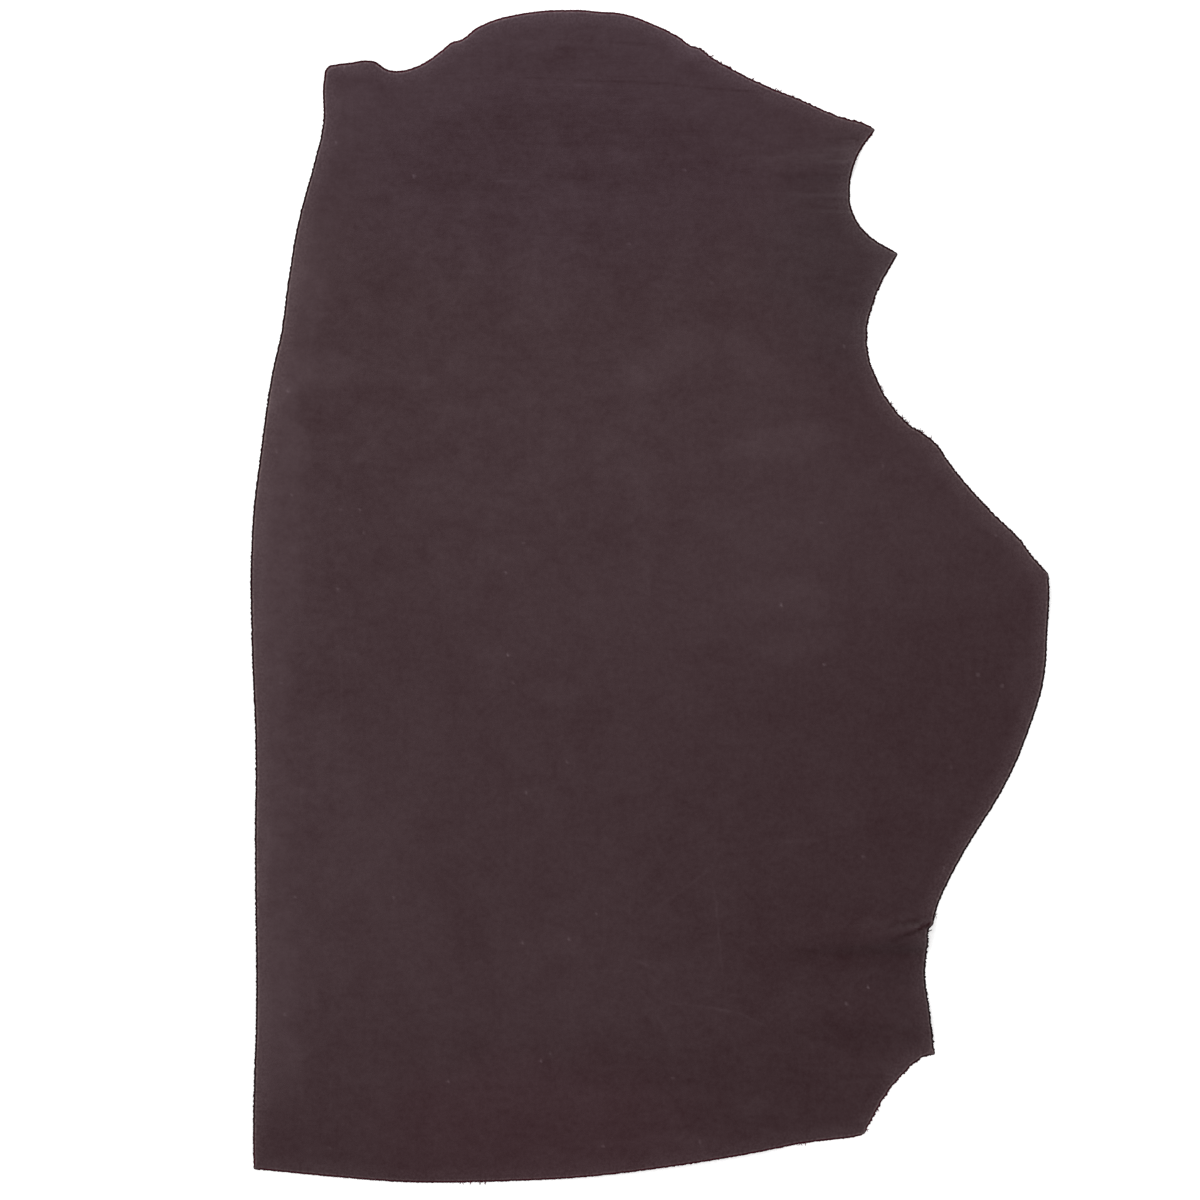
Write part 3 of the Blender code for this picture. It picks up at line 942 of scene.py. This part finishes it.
def waxed_grain(colours):
    """Full-grain cattle leather, drum-dyed and finished with wax.

    The dye is even and dark, and the wax lies on it as a paler cloudy bloom where the skin
    was pressed or bent. The pale end of the tone is partly painted sheen, and the painted layer
    holds painted light and shade too: paler towards the backbone and along the edge, shaded in
    the creases of the shanks and lit on their ridges. The surface is smooth but not glossy,
    with a low soft sheen.
    """
    material, tree, shader = new_material("waxed_full_grain_leather")
    place = add(tree, "ShaderNodeTexCoord").outputs["Object"]
    told = {name: add(tree, "ShaderNodeAttribute", {"attribute_name": name}).outputs["Fac"]
            for name in ("edge_mm", "rub_and_highlight", *PAINTED)}

    # Clouds in the wax from 70 mm down, the skin's own mottle, 30 mm across the side and
    # 18 mm along it, with a fine one of 10 mm, its 4 mm speckle, and the 14 mm wrinkles that
    # run across the rump.
    longer, drawn_out = (
        add(tree, "ShaderNodeMapping", inputs={"Vector": place, "Scale": scale})
        for scale in ((1 / 0.030, 1 / 0.018, 1), (1 / 0.11, 1 / 0.014, 1)))
    clouds, mottle, fine, speckle, wrinkle = (
        add(tree, "ShaderNodeTexNoise", {"noise_dimensions": "2D"}, {
            "Vector": vector, "Scale": scale, "Detail": detail, "Roughness": roughness,
            "Distortion": distortion})
        for vector, scale, detail, roughness, distortion in (
            (place, 1 / 0.07, 4.0, 0.6, 0.3), (longer, 1.0, 3.0, 0.65, 0.0),
            (place, 1 / 0.010, 1.5, 0.6, 0.0), (place, 1 / 0.004, 1.0, 0.6, 0.0),
            (drawn_out, 1.0, 2.0, 0.6, 0.5)))
    folded = add(tree, "ShaderNodeMath", {"operation": "SUBTRACT"}, {0: wrinkle, 1: 0.5})
    folded = add(tree, "ShaderNodeMath", TIMES, {0: folded, 1: told["wrinkled"]})

    # The grain is paler beside the edge: a little for 34 mm, and most of all on the rim, where
    # the grain rounds down to the cut. It is partly rubbed by handling and partly painted
    # highlight, where the edge and its rounded shoulder catch the light.
    band, rim = (
        add(tree, "ShaderNodeMapRange", {"interpolation_type": "SMOOTHSTEP"},
            {"Value": told["edge_mm"], **fade}) for fade in (BAND, RIM))
    broken = add(tree, "ShaderNodeMapRange", inputs={"Value": speckle, **BROKEN})
    rub_and_highlight_tone = add(tree, "ShaderNodeMath", PLUS, {0: band, 1: rim})
    for share in (told["rub_and_highlight"], broken):
        rub_and_highlight_tone = add(tree, "ShaderNodeMath", TIMES, {0: rub_and_highlight_tone, 1: share})

    # The tone is the sum of the rub and painted edge highlight, the painted layer of bloom,
    # painted light and shade, and the patterns. The clouds and the mottle count again where the
    # table says that they are stronger.
    uneven = add(tree, "ShaderNodeMath", TIMES_PLUS,
                 {0: clouds, 1: CLOUDS, 2: -(CLOUDS + MOTTLE) / 2})
    uneven = add(tree, "ShaderNodeMath", TIMES_PLUS, {0: mottle, 1: MOTTLE, 2: uneven})
    tone = add(tree, "ShaderNodeMath", PLUS, {0: rub_and_highlight_tone, 1: told["bloom_and_painted_light"]})
    tone = add(tree, "ShaderNodeMath", PLUS, {
        0: tone, 1: GRAIN_TONE - (CLOUDS + MOTTLE + FINE_MOTTLE + SPECKLE) / 2})
    for pattern, strength in (
            (uneven, told["mottled"]), (clouds, CLOUDS), (mottle, MOTTLE), (fine, FINE_MOTTLE),
            (speckle, SPECKLE), (folded, WRINKLE_TONE)):
        tone = add(tree, "ShaderNodeMath", TIMES_PLUS, {0: pattern, 1: strength, 2: tone})
    colour = add(tree, "ShaderNodeMix", {"data_type": "RGBA", "clamp_factor": False}, {
        0: tone, 6: (*colours.deep, 1), 7: (*colours.bloom_and_painted_light, 1)})
    bluer = add(tree, "ShaderNodeMath", TIMES_PLUS, {0: rub_and_highlight_tone, 1: HIGHLIGHT_AND_RUB_BLUE, 2: told["bluer"]})
    tint = add(tree, "ShaderNodeCombineXYZ", inputs={0: told["redder"], 2: bluer})
    tint = add(tree, "ShaderNodeVectorMath", PLUS, {0: tint, 1: (1, 1, 1)})
    tinted = add(tree, "ShaderNodeVectorMath", TIMES, {0: colour.outputs[2], 1: tint})

    roughness = add(tree, "ShaderNodeMapRange", inputs={
        "Value": clouds, "From Min": 0.3, "From Max": 0.7, "To Min": 0.47, "To Max": 0.56})

    # Hair pores are under 1 mm apart, too fine for a view of the whole side, so the grain is
    # drawn 3 mm wide. Slack grain breaks into pebbles of 6 mm.
    grain, pebbles = (
        add(tree, "ShaderNodeTexVoronoi", {"voronoi_dimensions": "2D"},
            {"Vector": place, "Scale": scale}) for scale in (1 / 0.003, 1 / 0.006))
    pebbled = add(tree, "ShaderNodeMath", TIMES, {0: pebbles, 1: told["slack"]})
    relief = add(tree, "ShaderNodeMath", TIMES, {0: grain, 1: GRAIN_HIGH})
    for pattern, strength in ((pebbled, PEBBLES_HIGH), (folded, WRINKLES_HIGH)):
        relief = add(tree, "ShaderNodeMath", TIMES_PLUS, {0: pattern, 1: strength, 2: relief})
    bump = add(tree, "ShaderNodeBump", inputs={
        "Strength": 1.0, "Distance": MM, "Height": relief})
    fill(shader, {"Base Color": tinted, "Roughness": roughness, "Specular IOR Level": 0.22,
                  "Normal": bump})
    return material


def bare_fibres(name, dyed, undyed):
    """Bare leather fibres: quite matt, dark where the dye took and red where little did. On the
    cut, the dark is partly painted shade.
    """
    material, tree, shader = new_material(name)
    place = add(tree, "ShaderNodeTexCoord").outputs["Object"]
    red = add(tree, "ShaderNodeAttribute", {"attribute_name": "red"}).outputs["Fac"]
    tangle = add(tree, "ShaderNodeTexNoise", inputs={
        "Vector": place, "Scale": 1 / (1.5 * MM), "Detail": 2.0, "Roughness": 0.7})
    share = add(tree, "ShaderNodeMath", TIMES, {0: tangle, 1: red})
    share = add(tree, "ShaderNodeMath", TIMES, {0: share, 1: 2.0})
    mixed = add(tree, "ShaderNodeMix", {"data_type": "RGBA"}, {
        0: share, 6: (*dyed, 1), 7: (*undyed, 1)})
    bump = add(tree, "ShaderNodeBump", inputs={
        "Strength": 1.0, "Distance": 0.2 * MM, "Height": tangle})
    fill(shader, {"Base Color": mixed.outputs[2], "Roughness": 0.9, "Specular IOR Level": 0.08,
                  "Normal": bump})
    return material


def buffed_flesh(colours):
    """The flesh side, split and buffed to a short nap: soft, matt and slightly furry."""
    material, tree, shader = new_material("buffed_flesh_side")
    place = add(tree, "ShaderNodeTexCoord").outputs["Object"]
    # The nap is finer than this; it is drawn in 5 mm tufts and 60 mm strokes of the buffing.
    tufts = add(tree, "ShaderNodeTexNoise", inputs={
        "Vector": place, "Scale": 1 / 0.005, "Detail": 3.0, "Roughness": 0.7})
    strokes = add(tree, "ShaderNodeTexNoise", inputs={
        "Vector": place, "Scale": 1 / 0.06, "Detail": 3.0, "Roughness": 0.55, "Distortion": 0.8})
    both = add(tree, "ShaderNodeMath", TIMES_PLUS, {0: tufts, 1: 0.5, 2: strokes})
    share = add(tree, "ShaderNodeMapRange", inputs={
        "Value": both, "From Min": 0.5, "From Max": 1.0})
    paler = [min(1.0, value * 1.5) for value in colours.flesh]
    colour = add(tree, "ShaderNodeMix", {"data_type": "RGBA"}, {
        0: share, 6: (*colours.flesh, 1), 7: (*paler, 1)})
    bump = add(tree, "ShaderNodeBump", inputs={
        "Strength": 1.0, "Distance": 0.5 * MM, "Height": tufts})
    fill(shader, {"Base Color": colour.outputs[2], "Roughness": 0.95, "Specular IOR Level": 0.1,
                  "Sheen Weight": 0.25, "Sheen Roughness": 0.5, "Normal": bump})
    return material


def matt_floor(settings):
    """Plain pale floor, matt, which shines faintly by itself like a light table."""
    material, _, shader = new_material("matt_floor")
    fill(shader, {"Base Color": (*settings.floor, 1), "Roughness": 1.0,
                  "Specular IOR Level": 0.0, "Emission Color": (1, 1, 1, 1),
                  "Emission Strength": settings.floor_glow})
    return material


# ---- Studio ----------------------------------------------------------------------------

FLOOR_HALF = 9.0                # metres
FLOOR_GAP = 0.2 * MM            # keeps the floor clear of the sheet's underside
VIEW_CENTRE = (-0.081, -0.006)  # what the camera stands over
#   light             centre              size   watts
LIGHTS = (
    ("tail_window",    (-1.8, 5.0, 3.4),   3.6,   210),
    ("spine_window",   (-5.0, 0.4, 3.2),   3.6,   120),
    ("belly_window",   (5.0, -1.8, 3.6),   3.6,   130),
)
HORIZON_LIGHT = 0.75            # how bright the surroundings are near the horizon
ZENITH_LIGHT = 0.20             # and overhead, kept low so that the leather shows no glare


def surround():
    """Plain soft light from all round, dimmer overhead."""
    world = bpy.data.worlds.new("studio")
    bpy.context.scene.world = world
    world.use_nodes = True
    tree = world.node_tree
    way = add(tree, "ShaderNodeTexCoord").outputs["Generated"]
    height = add(tree, "ShaderNodeSeparateXYZ", inputs={0: way}).outputs["Z"]
    strength = add(tree, "ShaderNodeMapRange", {"interpolation_type": "SMOOTHSTEP"}, {
        "Value": height, "From Min": 0.35, "From Max": 0.95,
        "To Min": HORIZON_LIGHT, "To Max": ZENITH_LIGHT})
    fill(tree.nodes["Background"], {"Color": (1, 1, 1, 1), "Strength": strength})


def soft_light(name, centre, size, watts):
    """A square soft box aimed at the middle of the side."""
    data = bpy.data.lights.new(name, "AREA")
    data.shape = "SQUARE"
    data.size = size
    data.energy = watts
    light = placed(name, data)
    light.location = centre
    light.rotation_mode = "QUATERNION"
    light.rotation_quaternion = (-Vector(centre)).to_track_quat("-Z", "Y")
    light.visible_camera = False


def camera_above(settings):
    """The camera, straight above with the tail at the top."""
    data = bpy.data.cameras.new("camera")
    data.lens = settings.lens
    camera = placed("camera", data)
    camera.location = (*VIEW_CENTRE, settings.width * settings.lens / data.sensor_width)
    bpy.context.scene.camera = camera


# ---- Operators -------------------------------------------------------------------------

def show(name, mesh, materials):
    """Makes an object of a finished mesh, at the origin."""
    for material in materials:
        mesh.materials.append(material)
    return placed(name, mesh)


class HIDE_OT_leather_side(Operator):
    """Build the side of leather on its solid's folds, with its grain, cut edge and flesh side"""
    bl_idname = "hide.leather_side"
    bl_label = "Side of leather"

    def execute(self, context):
        colours = context.scene.hide_colours
        side = show("leather_side", side_mesh(context.scene.hide_sizes), (
            waxed_grain(colours),
            bare_fibres("knife_cut_edge", colours.cut, colours.red_cut),
            buffed_flesh(colours)))
        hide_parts("hide")
        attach(side, "root")
        return {"FINISHED"}


class HIDE_OT_edge_fibres(Operator):
    """Build the loose fibres that stand out of the trimmed edge"""
    bl_idname = "hide.edge_fibres"
    bl_label = "Edge fibres"

    def execute(self, context):
        colours = context.scene.hide_colours
        fibres = show("edge_fibres", edge_fibres_mesh(context.scene.hide_sizes),
                      (bare_fibres("loose_leather_fibres", colours.loose, colours.red_loose),))
        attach(fibres, "root")
        return {"FINISHED"}


class HIDE_OT_studio(Operator):
    """Set up the floor, the soft light and the camera"""
    bl_idname = "hide.studio"
    bl_label = "Studio"

    def execute(self, context):
        settings = context.scene.hide_studio
        bm = bmesh.new()
        bmesh.ops.create_grid(bm, x_segments=1, y_segments=1, size=FLOOR_HALF)
        bmesh.ops.translate(bm, verts=bm.verts, vec=(0, 0, -FLOOR_GAP))
        show("floor", finished(bm, "floor"), (matt_floor(settings),))
        surround()
        for row in LIGHTS:
            soft_light(*row)
        camera_above(settings)
        context.scene.view_settings.view_transform = "Standard"
        return {"FINISHED"}


OPERATORS = (HIDE_OT_leather_side, HIDE_OT_edge_fibres, HIDE_OT_studio)


class HIDE_PT_builder(Panel):
    """Lists the settings and the pieces, in the order in which they are built"""
    bl_idname = "HIDE_PT_builder"
    bl_label = "Side of leather"
    bl_space_type = "VIEW_3D"
    bl_region_type = "UI"
    bl_category = "Leather"

    def draw(self, context):
        scene = context.scene
        for group in (scene.hide_sizes, scene.hide_colours, scene.hide_studio):
            box = self.layout.box()
            for name in group.__annotations__:
                box.prop(group, name)
        for operator in OPERATORS:
            self.layout.operator(operator.bl_idname)


CLASSES = (HideSizes, HideColours, StudioSettings, *OPERATORS, HIDE_PT_builder)


def register():
    for cls in CLASSES:
        bpy.utils.register_class(cls)
    bpy.types.Scene.hide_sizes = PointerProperty(type=HideSizes)
    bpy.types.Scene.hide_colours = PointerProperty(type=HideColours)
    bpy.types.Scene.hide_studio = PointerProperty(type=StudioSettings)


def unregister():
    del bpy.types.Scene.hide_studio
    del bpy.types.Scene.hide_colours
    del bpy.types.Scene.hide_sizes
    for cls in reversed(CLASSES):
        bpy.utils.unregister_class(cls)


def main():
    register()
    bpy.ops.hide.leather_side()
    bpy.ops.hide.edge_fibres()
    bpy.ops.hide.studio()


if __name__ == "__main__":
    main()
